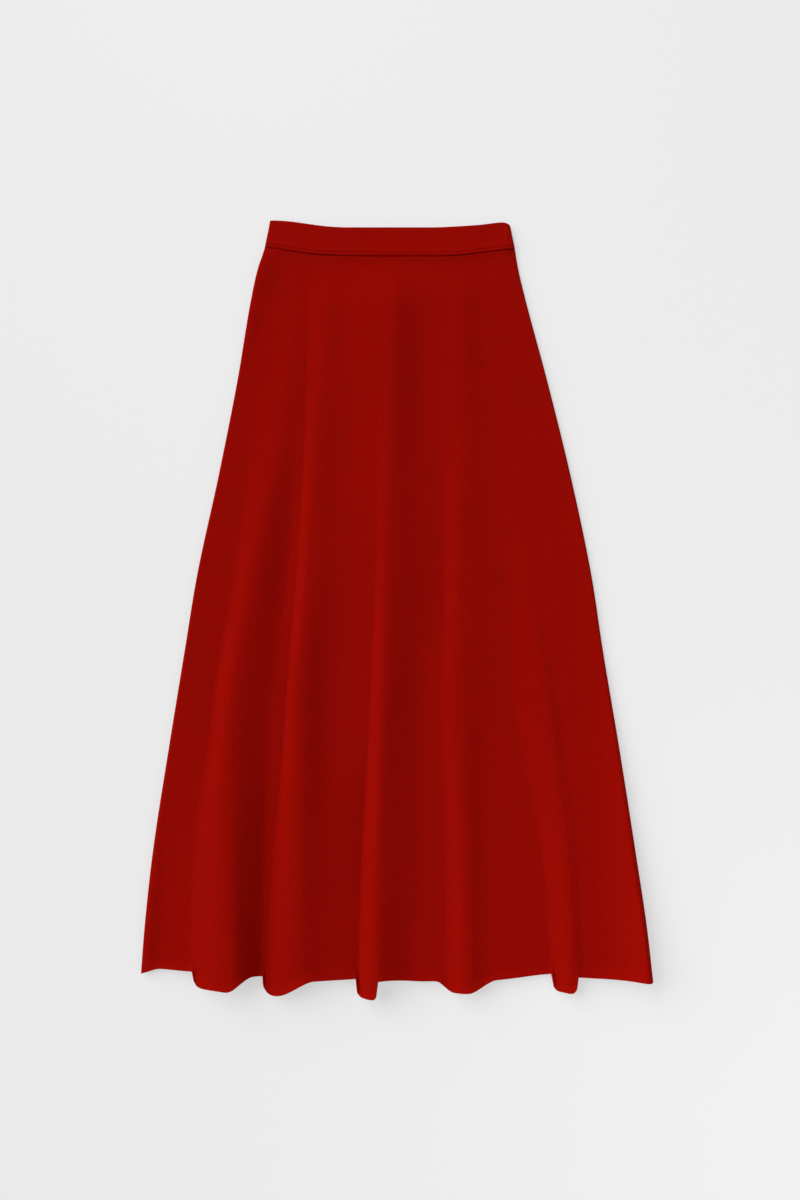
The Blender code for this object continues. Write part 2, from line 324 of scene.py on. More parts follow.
@dataclass(frozen=True)
class Crease:
    """A soft ridge, or a trough where its height is negative, along a line on the cloth.

    The line runs from the place (x, drop) where it starts to the one where it ends, and bows to the right
    by bow half way. The cloth eases down over one width to its left and over another to its right.
    """

    start: tuple[float, float]
    end: tuple[float, float]
    left: float
    right: float
    height: float
    fullest: float = 0.5
    bow: float = 0.0

    def lift(self, x: Array, drop: Array) -> Array:
        """Works out how far the crease lifts the cloth.

        Args:
            x: the places across, in millimetres.
            drop: the places down, in millimetres.

        Returns:
            The height above the plain cloth at each place.
        """
        run = np.array([self.end[0] - self.start[0], self.end[1] - self.start[1]], float)
        length = float(np.hypot(*run))
        ahead = run / length
        from_start = (x - self.start[0], drop - self.start[1])
        along = (from_start[0] * ahead[0] + from_start[1] * ahead[1]) / length
        inside = np.clip(along, 0, 1)
        across = from_start[0] * ahead[1] - from_start[1] * ahead[0] - 4 * self.bow * inside * (1 - inside)
        width = np.where(across < 0, self.left, self.right)
        rise = np.where(along < self.fullest, along / self.fullest, (1 - along) / (1 - self.fullest))
        return self.height * smooth_step(rise) * smooth_step(1 - np.abs(across) / width)


@dataclass(frozen=True)
class Unevenness:
    """The slight waviness of cloth that was smoothed by hand: a sum of long low waves.

    The waves head up to the spread, in radians, to either side of straight across.
    """

    height: float
    lengths: tuple[float, ...]
    seed: int
    spread: float = 0.9

    def lift(self, x: Array, drop: Array) -> Array:
        """Works out how far the waves lift the cloth.

        Args:
            x: the places across, in millimetres.
            drop: the places down, in millimetres.

        Returns:
            The height above the plain cloth at each place.
        """
        draw = np.random.default_rng(self.seed)
        total = np.zeros_like(x)
        for length in self.lengths:
            heading = draw.uniform(-self.spread, self.spread)
            phase = draw.uniform(0, 2 * math.pi)
            across = (x * math.cos(heading) + drop * math.sin(heading)) / length
            total += np.sin(2 * math.pi * across + phase)
        return self.height * total / math.sqrt(len(self.lengths))


FLUTES = (
    Flute(Table("drop", (
        FluteRow(75, -117, 0, 6, 0, 3, 0),
        FluteRow(240, -137, 3.4, 38, 0.5, 20, 1.6),
        FluteRow(410, -169, 8, 27, 1.5, 42, 0),
        FluteRow(580, -196, 13.4, 26, 2.4, 48, 2.2),
        FluteRow(745, -198, 19.5, 48, 4.6, 42, 0),
        FluteRow(905, -194, 25, 56, 6.4, 33, 0),
    )), (0.5, 0.3), (0.35, 0.2), Hang(-241.2, -222, -203, -170, 19)),
    Flute(Table("drop", (
        FluteRow(75, -72, 4, 36, 0, 12, 4.6),
        FluteRow(240, -92, 5, 18, 1, 44, 3.5),
        FluteRow(410, -104, 11.2, 15, 1.6, 60, 6.6),
        FluteRow(580, -116, 13.4, 17, 2.2, 56, 3.2),
        FluteRow(745, -116, 14.5, 31, 0, 38, 6),
        FluteRow(905, -115, 17.5, 44, 0, 40, 9.6),
    )), (0.65, 0.12), (0.3, 0.6), Hang(-158.4, -142, -148, -96, 20.5)),
    Flute(Table("drop", (
        FluteRow(75, -1, 9.5, 18, 8.4, 36, 4.5),
        FluteRow(240, -5, 7.5, 16, 6, 44, 0.5),
        FluteRow(410, -10, 10.6, 16, 6.8, 54, 1),
        FluteRow(580, -14.5, 14.2, 18, 4.4, 56, 1.6),
        FluteRow(745, -20.5, 17, 21, 0, 56, 3.6),
        FluteRow(905, -23, 22, 24, 5.4, 46, 6),
    )), (0.6, 0.3), (0.18, 0.4), Hang(-46.2, -37, -31, -23.5, 22, right_side=round_corner)),
    Flute(Table("drop", (
        FluteRow(75, 76, 3.8, 20, 4, 32, 0.3),
        FluteRow(240, 80, 3, 32, 0.5, 36, 0),
        FluteRow(410, 76, 5, 22, 0.2, 40, 0.5),
        FluteRow(580, 76, 7, 26, 1.8, 50, 0.2),
        FluteRow(745, 82, 10, 26, 2, 32, 4),
        FluteRow(905, 85, 13.5, 28, 4, 34, 6),
    )), (0.45, 0.4), (0.32, 0.55), Hang(48, 69, 86, 122, 13.5, smooth_step)),
    Flute(Table("drop", (
        FluteRow(75, 118, 0.2, 3, 0.2, 3, 0.1),
        FluteRow(240, 146, 0, 20, 0, 14, 0),
        FluteRow(410, 160, 0.6, 34, -0.4, 16, 0.2),
        FluteRow(580, 183, 4.5, 44, -0.6, 14, 2.6),
        FluteRow(745, 204, 8, 33, -0.8, 14, 6),
        FluteRow(905, 212, 10, 27, -0.8, 16, 6.5),
    )), (0.4, 0.35), (0.3, 0.3), Hang(189.4, 199, 204, 215.6, 20.5, right_side=round_corner)),
)

# The front panel dips below the left end of the waistband, has a short slanting wrinkle where the fourth
# flute starts, and is slightly uneven all over.
FRONT_RELIEF = (
    Crease((-128, 8), (-172, 150), 26, 30, -0.6, 0.3),
    Crease((34, 132), (82, 196), 9, 9, 0.7, 0.5),
    Unevenness(0.16, (61, 83, 97, 118, 151), seed=3),
)

# The back panel has a low ridge under four of the flutes.
BACK_RELIEF = (
    Crease((-150, 470), (-205, 960), 20, 26, 6.0, 0.85),
    Crease((-105, 420), (-128, 960), 18, 22, 5.0, 0.85, 4.0),
    Crease((70, 380), (84, 960), 20, 24, 4.6, 0.8, -3.0),
    Crease((190, 640), (214, 960), 12, 12, 3.4, 0.9),
)

# The band's front half rises a little at its right end and in two soft waves.
BAND_WAVES = (
    Crease((134, -6), (133, 24), 5, 5, 0.7),
    Crease((-66, -4), (-60, 30), 26, 30, 0.35),
    Crease((70, -4), (66, 30), 24, 26, 0.3),
)


# ---------------------------------------------------------------- finishes


# The Mix node's sockets for colours, by number, because its sockets for other kinds have the same names.
MIX_SHARE = 0
MIX_FIRST = 6
MIX_SECOND = 7
MIX_RESULT = 2

MOTTLE_ROUGHNESS = 0.55
WHITE = (1.0, 1.0, 1.0, 1.0)


class NodeGraph:
    """Adds nodes to one material and joins them."""

    def __init__(self, material: bpy.types.Material) -> None:
        """Starts on a material's own nodes."""
        material.use_nodes = True
        self.tree = material.node_tree
        self.shader = self.tree.nodes["Principled BSDF"]

    def add(self, kind: str, inputs: dict[str | int, Any], **settings: Any) -> bpy.types.Node:
        """Adds a node.

        Args:
            kind: the node's type name.
            inputs: for each input, by name or number, a value or another node's output.
            **settings: the node's own properties.

        Returns:
            The new node.
        """
        node = self.tree.nodes.new(kind)
        for name, value in settings.items():
            setattr(node, name, value)
        for name, value in inputs.items():
            if isinstance(value, bpy.types.NodeSocket):
                self.tree.links.new(value, node.inputs[name])
            else:
                node.inputs[name].default_value = value
        return node

    def math(self, operation: str, *values: Any) -> bpy.types.NodeSocket:
        """Works out one sum on values or other nodes' outputs."""
        return self.add("ShaderNodeMath", dict(enumerate(values)), operation=operation).outputs[0]

    def noise(self, place: bpy.types.NodeSocket, grain: float, **shape: float) -> bpy.types.Node:
        """Adds soft noise with blots about the size of grain, in metres, and any other inputs by name."""
        return self.add("ShaderNodeTexNoise", {"Vector": place, "Scale": 1 / grain, **shape})

    def blend(self, share: bpy.types.NodeSocket, first: Colour, second: Colour) -> bpy.types.NodeSocket:
        """Adds a blend from the first colour at a share of 0 to the second at 1."""
        ends = {MIX_SHARE: share, MIX_FIRST: (*first, 1.0), MIX_SECOND: (*second, 1.0)}
        return self.add("ShaderNodeMix", ends, data_type="RGBA").outputs[MIX_RESULT]

    def finish(self, base: bpy.types.NodeSocket, **values: Any) -> None:
        """Sets the shader up.

        Args:
            base: the output that gives the base colour.
            **values: a value for each other input, by its name with _ for each space.
        """
        self.tree.links.new(base, self.shader.inputs["Base Color"])
        for name, value in values.items():
            self.shader.inputs[name.replace("_", " ")].default_value = value

    def bump(self, height: bpy.types.NodeSocket, relief: float) -> None:
        """Raises the surface by up to the relief, in metres, where the height is 1."""
        bump = self.add("ShaderNodeBump", {"Height": height, "Distance": relief})
        self.tree.links.new(bump.outputs["Normal"], self.shader.inputs["Normal"])


@dataclass(frozen=True)
class KnitFinish:
    """Compact matte knit in one dyed colour, softly mottled, with the V stitches of plain knitting.

    Lengths are in metres. The shares say how much lighter or darker the cloth gets than its colour: the blots
    and flecks are tone that differs at random, and the stitches' share is painted shade between the stitches
    and painted light on their tops. The slant is how many courses a stitch's leg climbs for each wale of
    width, of which it takes half.
    """

    name: str
    colour: Colour
    stitch_width: float = 0.0014
    stitch_height: float = 0.0010
    stitch_relief: float = 0.00016
    leg_slant: float = 1.6
    yarn_wander: float = 0.00022
    wander_length: float = 0.006
    blot: float = 0.045
    fleck: float = 0.004
    blot_share: float = 0.035
    fleck_share: float = 0.15
    # Painted shade between the stitches and painted light on their tops, as a share of the colour.
    painted_stitch_shade: float = 0.05
    roughness: float = 0.92
    gloss: float = 0.01
    fuzz: float = 0.03
    fuzz_roughness: float = 0.6
    fuzz_colour: Colour = (1.0, 0.08, 0.05)

    def _stitches(self, graph: NodeGraph, place: bpy.types.NodeSocket) -> bpy.types.NodeSocket:
        """Works out the stitches of plain knitting: in each wale two slanting legs, one loop a course.

        Args:
            graph: the material's nodes.
            place: the place on the flat cloth.

        Returns:
            The height of the stitches there, from 0 to 1.
        """
        wander = graph.noise(place, self.wander_length, Detail=1.0)
        sway = graph.add(
            "ShaderNodeVectorMath", {0: wander.outputs["Color"], 1: (self.yarn_wander,) * 3},
            operation="MULTIPLY",
        )
        moved = graph.add("ShaderNodeVectorMath", {0: place, 1: sway.outputs[0]}, operation="ADD")
        axes = graph.add("ShaderNodeSeparateXYZ", {0: moved.outputs[0]})
        wale = graph.math("DIVIDE", axes.outputs["X"], self.stitch_width)
        course = graph.math("DIVIDE", axes.outputs["Y"], self.stitch_height)
        in_wale = graph.math("PINGPONG", wale, 0.5)
        leg = graph.math("SINE", graph.math("MULTIPLY", in_wale, 2 * math.pi))
        slanted = graph.math("MULTIPLY_ADD", in_wale, self.leg_slant, course)
        loop = graph.math("SINE", graph.math("MULTIPLY", graph.math("FRACT", slanted), math.pi))
        return graph.math("MULTIPLY", graph.math("ABSOLUTE", leg), loop)

    def material(self) -> bpy.types.Material:
        """Makes the material.

        Returns:
            A material that reads the piece's flat cloth map, so the knit follows the surface.
        """
        made = bpy.data.materials.new(self.name)
        graph = NodeGraph(made)
        place = graph.add("ShaderNodeUVMap", {}, uv_map=CLOTH_MAP).outputs["UV"]
        stitches = self._stitches(graph, place)
        blots, flecks = (
            graph.noise(place, grain, Detail=2.0, Roughness=MOTTLE_ROUGHNESS).outputs["Fac"]
            for grain in (self.blot, self.fleck)
        )
        most = self.blot_share + self.fleck_share + self.painted_stitch_shade
        shade = 0.5
        # The blots and flecks vary the tone at random; the stitches' share is painted shade between the
        # stitches and painted light on their tops.
        for pattern, share in (
            (blots, self.blot_share), (flecks, self.fleck_share), (stitches, self.painted_stitch_shade),
        ):
            shade = graph.math("MULTIPLY_ADD", graph.math("SUBTRACT", pattern, 0.5), share / most, shade)
        darker, lighter = (tuple(c * (1 + sign * most) for c in self.colour) for sign in (-1, 1))
        graph.bump(stitches, self.stitch_relief)
        graph.finish(
            graph.blend(shade, darker, lighter),
            Roughness=self.roughness,
            Specular_IOR_Level=self.gloss,
            Sheen_Weight=self.fuzz,
            Sheen_Roughness=self.fuzz_roughness,
            Sheen_Tint=(*self.fuzz_colour, 1.0),
        )
        return made


@dataclass(frozen=True)
class ThreadFinish:
    """The linking yarn: the cloth's colour, a little darker, with its plies twisted round it.

    Lengths are in metres. The scale of the waves is one over the pitch times the width of a ply.
    """

    name: str
    colour: Colour
    ply: float = 0.0007
    pitch: float = 6.28
    twist: float = math.radians(40)
    relief: float = 0.0001
    shadow_share: float = 0.86
    roughness: float = 0.85
    gloss: float = 0.05

    def material(self) -> bpy.types.Material:
        """Makes the material.

        Returns:
            A material with the yarn's twist on Object coordinates.
        """
        made = bpy.data.materials.new(self.name)
        graph = NodeGraph(made)
        place = graph.add("ShaderNodeTexCoord", {}).outputs["Object"]
        turned = graph.add("ShaderNodeMapping", {"Vector": place, "Rotation": (0.0, 0.0, self.twist)})
        waves = {"Vector": turned.outputs[0], "Scale": 1 / (self.pitch * self.ply)}
        plies = graph.add("ShaderNodeTexWave", waves).outputs["Fac"]
        darker = tuple(c * self.shadow_share for c in self.colour)
        graph.bump(plies, self.relief)
        graph.finish(
            graph.blend(plies, darker, self.colour),
            Roughness=self.roughness,
            Specular_IOR_Level=self.gloss,
        )
        return made


@dataclass(frozen=True)
class FloorFinish:
    """A plain pale table, lit a little from below as a light table is, so its shadows stay faint."""

    shade: float = 0.33
    shade_step: float = 0.002
    blot: float = 0.4
    glow: float = 0.52

    def material(self) -> bpy.types.Material:
        """Makes the material.

        Returns:
            A matte material with a very faint unevenness in its shade.
        """
        made = bpy.data.materials.new("pale_table")
        graph = NodeGraph(made)
        place = graph.add("ShaderNodeTexCoord", {}).outputs["Object"]
        blots = graph.noise(place, self.blot, Detail=1.0, Roughness=MOTTLE_ROUGHNESS).outputs["Fac"]
        tones = [(self.shade + sign * self.shade_step,) * 3 for sign in (-1, 1)]
        graph.finish(
            graph.blend(blots, *tones),
            Roughness=1.0,
            Specular_IOR_Level=0.0,
            Emission_Color=WHITE,
            Emission_Strength=self.glow,
        )
        return made


# The cloth's dyed colour, and the share of it that the linking yarn shows.
RED = (0.297, 0.0030, 0.0009)
YARN_SHARE = 0.92
SKIRT_KNIT = KnitFinish("skirt_knit", RED)
BAND_KNIT = KnitFinish("band_knit", RED, stitch_height=0.0009)
LINKING_YARN = ThreadFinish("linking_yarn", tuple(YARN_SHARE * c for c in RED))


# ---------------------------------------------------------------- making meshes


def placed(points: Array) -> Array:
    """Turns points (x, drop, z) in millimetres into places in metres."""
    return np.stack([points[..., 0], WAIST_Y - points[..., 1], points[..., 2]], axis=-1) * MM


def shaped_grid(points: Array, cloth_map: Array) -> bmesh.types.BMesh:
    """Moves the vertices of a grid to given places.

    Args:
        points: rows of places in metres, the first row at the top of the grid.
        cloth_map: for each place, how far across and how far up the flat cloth it lies, in metres.

    Returns:
        The grid, with the cloth's flat map as its UV map.
    """
    rows, columns = points.shape[:2]
    mesh = bmesh.new()
    bmesh.ops.create_grid(mesh, x_segments=columns - 1, y_segments=rows - 1, size=0.5)
    flat = mesh.loops.layers.uv.new(CLOTH_MAP)
    mesh.verts.ensure_lookup_table()
    grid = {}
    for vertex in mesh.verts:
        column = round((vertex.co.x + 0.5) * (columns - 1))
        row = round((0.5 - vertex.co.y) * (rows - 1))
        grid[vertex.index] = (row, column)
        vertex.co = points[row, column]
    for face in mesh.faces:
        for loop in face.loops:
            loop[flat].uv = cloth_map[grid[loop.vert.index]]
    return mesh


def finished(mesh: bmesh.types.BMesh, name: str, material: bpy.types.Material) -> bpy.types.Object:
    """Makes a mesh a piece of the scene, smooth and at the origin.

    Args:
        mesh: the mesh, which is freed.
        name: the piece's name.
        material: its one material.

    Returns:
        The new piece.
    """
    data = bpy.data.meshes.new(name)
    mesh.to_mesh(data)
    mesh.free()
    data.shade_smooth()
    data.materials.append(material)
    piece = bpy.data.objects.new(name, data)
    bpy.context.scene.collection.objects.link(piece)
    return piece


# ---------------------------------------------------------------- panels


class Edge(Enum):
    """A side edge of the skirt, with the way from it to the middle."""

    LEFT = 1
    RIGHT = -1

    @property
    def column(self) -> str:
        """The name of this edge's column in the table of sides."""
        return self.name.lower()

    def at(self, drop: Array) -> Array:
        """The edge's own place across at these drops."""
        return SIDES.at(self.column, drop)

    def roll(self, drop: Array) -> Array:
        """How high the roll along this edge is at these drops."""
        return SIDES.at(self.column + "_roll", drop)


class Layer(Enum):
    """The two layers of the skirt as it lies, with the way that each one's face looks."""

    FRONT = 1
    BACK = -1

    @property
    def top_column(self) -> str:
        """The name of the column for this layer's top edge in the table of the waist."""
        return self.name.lower() + "_top"


@dataclass(frozen=True)
class Span:
    """One cubic curve of a panel's section, by the (x, z) of its two ends and of the controls by them."""

    start: Point
    leave: Point
    arrive: Point
    end: Point
    columns: int

    @classmethod
    def eased(
        cls, start: Point, end: Point, columns: int, slopes: Pair = (0, 0),
        reaches: Pair = (EVEN_REACH, EVEN_REACH),
    ) -> "Span":
        """Makes a curve with a slope at each end.

        Args:
            start: where it starts.
            end: where it ends.
            columns: how many columns of the panel it takes.
            slopes: its slope at the start and at the end.
            reaches: how far it keeps to each of them, as a share of its width.

        Returns:
            The curve.
        """
        length = end[0] - start[0]
        leave, arrive = reaches[0] * length, reaches[1] * length
        first = (start[0] + leave, start[1] + leave * slopes[0])
        last = (end[0] - arrive, end[1] - arrive * slopes[1])
        return cls(start, first, last, end, columns)

    @classmethod
    def bend(cls, upright: Point, level: Point, columns: int) -> "Span":
        """Makes a quarter round.

        Args:
            upright: the end where it stands upright.
            level: the end where it lies level.
            columns: how many columns of the panel it takes.

        Returns:
            The curve from its upright end to its level one.
        """
        across, rise = level[0] - upright[0], level[1] - upright[1]
        first = (upright[0], upright[1] + QUARTER_ROUND * rise)
        return cls(upright, first, (level[0] - QUARTER_ROUND * across, level[1]), level, columns)

    @classmethod
    def straight(cls, start: Point, end: Point, columns: int) -> "Span":
        """Makes a straight line.

        Args:
            start: where it starts.
            end: where it ends.
            columns: how many columns of the panel it takes.

        Returns:
            The line.
        """
        third, two_thirds = (
            tuple(start[i] + share * (end[i] - start[i]) for i in (0, 1)) for share in (1 / 3, 2 / 3)
        )
        return cls(start, third, two_thirds, end, columns)

    def turned(self) -> "Span":
        """The same curve from its other end."""
        return Span(self.end, self.arrive, self.leave, self.start, self.columns)

    def through(self, columns: slice, t: Array) -> Point:
        """Works out the part of a panel's section that lies on this curve.

        Args:
            columns: which columns of the panel these are.
            t: their places along the curve, from 0 to 1.

        Returns:
            The x and z of these columns in every row.
        """
        shares = ((1 - t) ** 3, 3 * (1 - t) ** 2 * t, 3 * (1 - t) * t * t, t**3)
        controls = (self.start, self.leave, self.arrive, self.end)
        x, z = (sum(s * c[i][:, columns] for s, c in zip(shares, controls)) for i in (0, 1))
        return x, z


@dataclass
class Panel:
    """A cloth panel: a grid on the curves of its section, given the cloth's thickness on its inner side.

    The rows nearest the seam and the hem have their own distances from them. The relief fades out over
    the settling's width towards each side edge.
    """

    name: str
    node: str
    layer: Layer
    finish: KnitFinish
    relief: tuple[Crease | Unevenness, ...]
    rows: int = 100
    rim_columns: int = 2
    bend_columns: int = 6
    rim_upright: float = 0.9
    rim_round: float = 0.45
    rim_segments: int = 2
    rim_angle: float = math.radians(55)
    settling: float = 16.0
    passes: int = 5
    near_seam: tuple[float, ...] = (0, 0.5, 1.1, 1.9, 2.9, 4.2, 6.0, 8.5, 12.0)
    near_hem: tuple[float, ...] = (15.0, 11.5, 8.5, 6.0, 4.0, 2.4, 1.1, 0)

    def spans(self, drop: Array) -> list[Span]:
        """Gives the curves of the section at these drops, from the left rim to the right rim."""
        raise NotImplementedError

    def hem(self, x: Array) -> Array:
        """Gives the drops of the hem at these places across."""
        raise NotImplementedError

    def seam_and_hem_lift(self, from_seam: Array, from_hem: Array) -> Array:
        """Gives how far the cloth is lifted near its seam and its hem, by the distance from each."""
        raise NotImplementedError

    def rim(self, edge: Edge, drop: Array) -> tuple[Point, Point, Point]:
        """Works out the points of one side's rim and of the bend above it.

        Args:
            edge: which side.
            drop: the places down, in millimetres.

        Returns:
            The (x, z) of the rim, of the upright start of its bend and of the level end of the bend.
        """
        up = self.layer.value
        across, roll = edge.at(drop), edge.roll(drop)
        height = (roll + up * RIM_GAP) / 2
        level = roll if self.layer is Layer.FRONT else 0 * roll
        inner = across + edge.value * SIDES.at("bend", drop)
        return (across, height), (across, height + up * self.rim_upright), (inner, level)

    def down(self, seam: Array, hem: Array) -> Array:
        """Spreads the rows from the seam to the hem, closer together by both.

        Args:
            seam: the drop of the seam in each column.
            hem: the drop of the hem in each column.

        Returns:
            The drops of the rows, in millimetres.
        """
        first, last = (np.array(near)[:, None] for near in (self.near_seam, self.near_hem))
        top, foot = seam + first, hem - last
        middle = np.linspace(0, 1, self.rows + 2)[1:-1, None]
        return np.concatenate([top, top[-1] + middle * (foot[0] - top[-1]), foot])

    def face(self) -> Array:
        """Works out the outer face.

        Each column has its own drops, because the seam and the hem are curved. They depend on where the
        column lies, which depends on its drops, so the two are worked out in turn until they agree.

        Returns:
            Rows of (x, drop, z) from the seam to the hem, in millimetres.
        """
        counts = [span.columns for span in self.spans(np.zeros((1, 1)))]
        starts = np.concatenate([[0], np.cumsum(counts)])
        total = int(starts[-1]) + 1
        drop = self.down(np.zeros(total), np.full(total, HEM_DROP))
        x, z = np.empty_like(drop), np.empty_like(drop)
        for _ in range(self.passes):
            for i, span in enumerate(self.spans(drop)):
                last = i == len(counts) - 1
                columns = slice(starts[i], starts[i + 1] + last)
                t = np.arange(counts[i] + last) / counts[i]
                x[:, columns], z[:, columns] = span.through(columns, t)
            seam = WAIST.at("seam", x[0]) + RIM_GAP
            drop = self.down(seam, self.hem(x[-1]))
        inside = [smooth_step(edge.value * (x - edge.at(drop)) / self.settling) for edge in Edge]
        relief = sum(shape.lift(x, drop) for shape in self.relief)
        relief += self.seam_and_hem_lift(drop - drop[0], drop[-1] - drop)
        return np.stack([x, drop, z + relief * inside[0] * inside[1]], axis=-1)

    def build(self) -> bpy.types.Object:
        """Makes the panel.

        Returns:
            The dressed panel, which stands for its solid.
        """
        face = self.face()
        steps = np.hypot(np.diff(face[..., 0], axis=1), np.diff(face[..., 2], axis=1))
        across = np.concatenate([np.zeros((len(face), 1)), np.cumsum(steps, axis=1)], axis=1)
        across -= across[:, [face.shape[1] // 2]]
        mesh = shaped_grid(placed(face), np.stack([across, -face[..., 1]], axis=-1) * MM)
        if self.layer is Layer.BACK:
            bmesh.ops.reverse_faces(mesh, faces=mesh.faces[:])
        piece = finished(mesh, self.name, self.finish.material())
        wall = piece.modifiers.new("cloth", "SOLIDIFY")
        wall.thickness = CLOTH * MM
        wall.offset = -1
        wall.use_even_offset = True
        rims = piece.modifiers.new("rims", "BEVEL")
        rims.width = self.rim_round * MM
        rims.segments = self.rim_segments
        rims.limit_method = "ANGLE"
        rims.angle_limit = self.rim_angle
        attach(piece, BODY)
        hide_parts(self.node)
        return piece


@dataclass
class FrontPanel(Panel):
    """The front panel: soft rolls along both sides, and between them the raised flutes.

    The cloth swells up to the band and dips into its seam, and the hem lifts, each over its own length.
    The right roll leaves its foot with the cloth's own slope, and reaches its top with the edge's lift
    times its mean slope.
    """

    flutes: tuple[Flute, ...] = FLUTES
    seam_dip: float = 1.2
    seam_dip_length: float = 1.6
    seam_swell: float = 2.2
    seam_swell_length: float = 18.0
    hem_lift: float = 2.6
    hem_lift_length: float = 13.0
    edge_lift: float = 2.0
    edge_reaches: tuple[float, float] = (0.5, 0.25)
    flank_columns: int = 26
    valley_columns: int = 7
    left_columns: int = 6
    right_columns: int = 12

    def seam_and_hem_lift(self, from_seam: Array, from_hem: Array) -> Array:
        """Swells the face towards the thicker band, turns it down into the seam and curls the hem up.

        Args:
            from_seam: how far from the seam, in millimetres.
            from_hem: how far from the hem.

        Returns:
            The lift there, which is negative where the seam presses the cloth down.
        """
        seam = self.seam_swell * np.clip(1 - from_seam / self.seam_swell_length, 0, 1) ** 2
        seam = seam - self.seam_dip * smooth_step(1 - from_seam / self.seam_dip_length)
        return seam + self.hem_lift * np.clip(1 - from_hem / self.hem_lift_length, 0, 1) ** 2

    def hem(self, x: Array) -> Array:
        """Gives the drops of the hem, which hangs lower where a flute raises the cloth."""
        return HEM.at("drop", x) + sum(flute.hang.at(x) for flute in self.flutes)

    def spans(self, drop: Array) -> list[Span]:
        """Puts the section together: a roll, a valley and two flanks for each flute, a valley and a roll.

        Args:
            drop: the places down, in millimetres.

        Returns:
            The curves of the section, from the left rim to the right rim.
        """
        face = FRONT_FACE + 0 * drop
        rim, turn, top = self.rim(Edge.LEFT, drop)
        right_rim, right_turn, right_top = self.rim(Edge.RIGHT, drop)
        flutes = [flute.knots(drop, face) for flute in self.flutes]
        first, last = (
            (side[0] + edge.value * SIDES.at(edge.column + "_foot", drop),
             face + SIDES.at(edge.column + "_rise", drop))
            for side, edge in ((rim, Edge.LEFT), (right_rim, Edge.RIGHT))
        )
        starts = [first] + [right for _, _, right in flutes]
        ends = [left for left, _, _ in flutes] + [last]
        slopes = [(end[1] - start[1]) / (end[0] - start[0]) for start, end in zip(starts, ends)]
        spans = [
            Span.straight(rim, turn, self.rim_columns),
            Span.bend(turn, top, self.bend_columns),
            Span.eased(top, starts[0], self.left_columns, (0, slopes[0])),
        ]
        for i, (left, crest, right) in enumerate(flutes):
            reach = self.flutes[i].reaches(drop)
            spans += [
                Span.straight(starts[i], left, self.valley_columns),
                Span.eased(left, crest, self.flank_columns, (slopes[i], 0), reach[:2]),
                Span.eased(crest, right, self.flank_columns, (0, slopes[i + 1]), reach[2:]),
            ]
        lift = self.edge_lift * (right_top[1] - ends[-1][1]) / (right_top[0] - ends[-1][0])
        return spans + [
            Span.straight(starts[-1], ends[-1], self.valley_columns),
            Span.eased(ends[-1], right_top, self.right_columns, (slopes[-1], lift), self.edge_reaches),
            Span.bend(right_turn, right_top, self.bend_columns).turned(),
            Span.straight(right_turn, right_rim, self.rim_columns),
        ]


@dataclass
class BackPanel(Panel):
    """The back panel: flat where it rests, turned up at both sides, with a few low ridges."""

    flat_columns: int = 110

    def seam_and_hem_lift(self, from_seam: Array, from_hem: Array) -> Array:
        """Gives no lift, because this panel lies flat to its seam and to its hem."""
        return 0 * from_seam * from_hem

    def hem(self, x: Array) -> Array:
        """Gives the drops of the hem, which the front one just hides."""
        return HEM.at("drop", x) - BACK_HEM_SHORT

    def spans(self, drop: Array) -> list[Span]:
        """Puts the section together: the left roll, the flat and the right roll.

        Args:
            drop: the places down, in millimetres.

        Returns:
            The curves of the section, from the left rim to the right rim.
        """
        left_rim, left_turn, left_level = self.rim(Edge.LEFT, drop)
        right_rim, right_turn, right_level = self.rim(Edge.RIGHT, drop)
        return [
            Span.straight(left_rim, left_turn, self.rim_columns),
            Span.bend(left_turn, left_level, self.bend_columns),
            Span.straight(left_level, right_level, self.flat_columns),
            Span.bend(right_turn, right_level, self.bend_columns).turned(),
            Span.straight(right_turn, right_rim, self.rim_columns),
        ]


# ---------------------------------------------------------------- waistband


@dataclass(frozen=True)
class BandPoint:
    """A point of the waistband's section.

    It has its share of the way from the top to the seam, how far below that it lies, and how far out.
    """

    share: float
    offset: float
    out: float


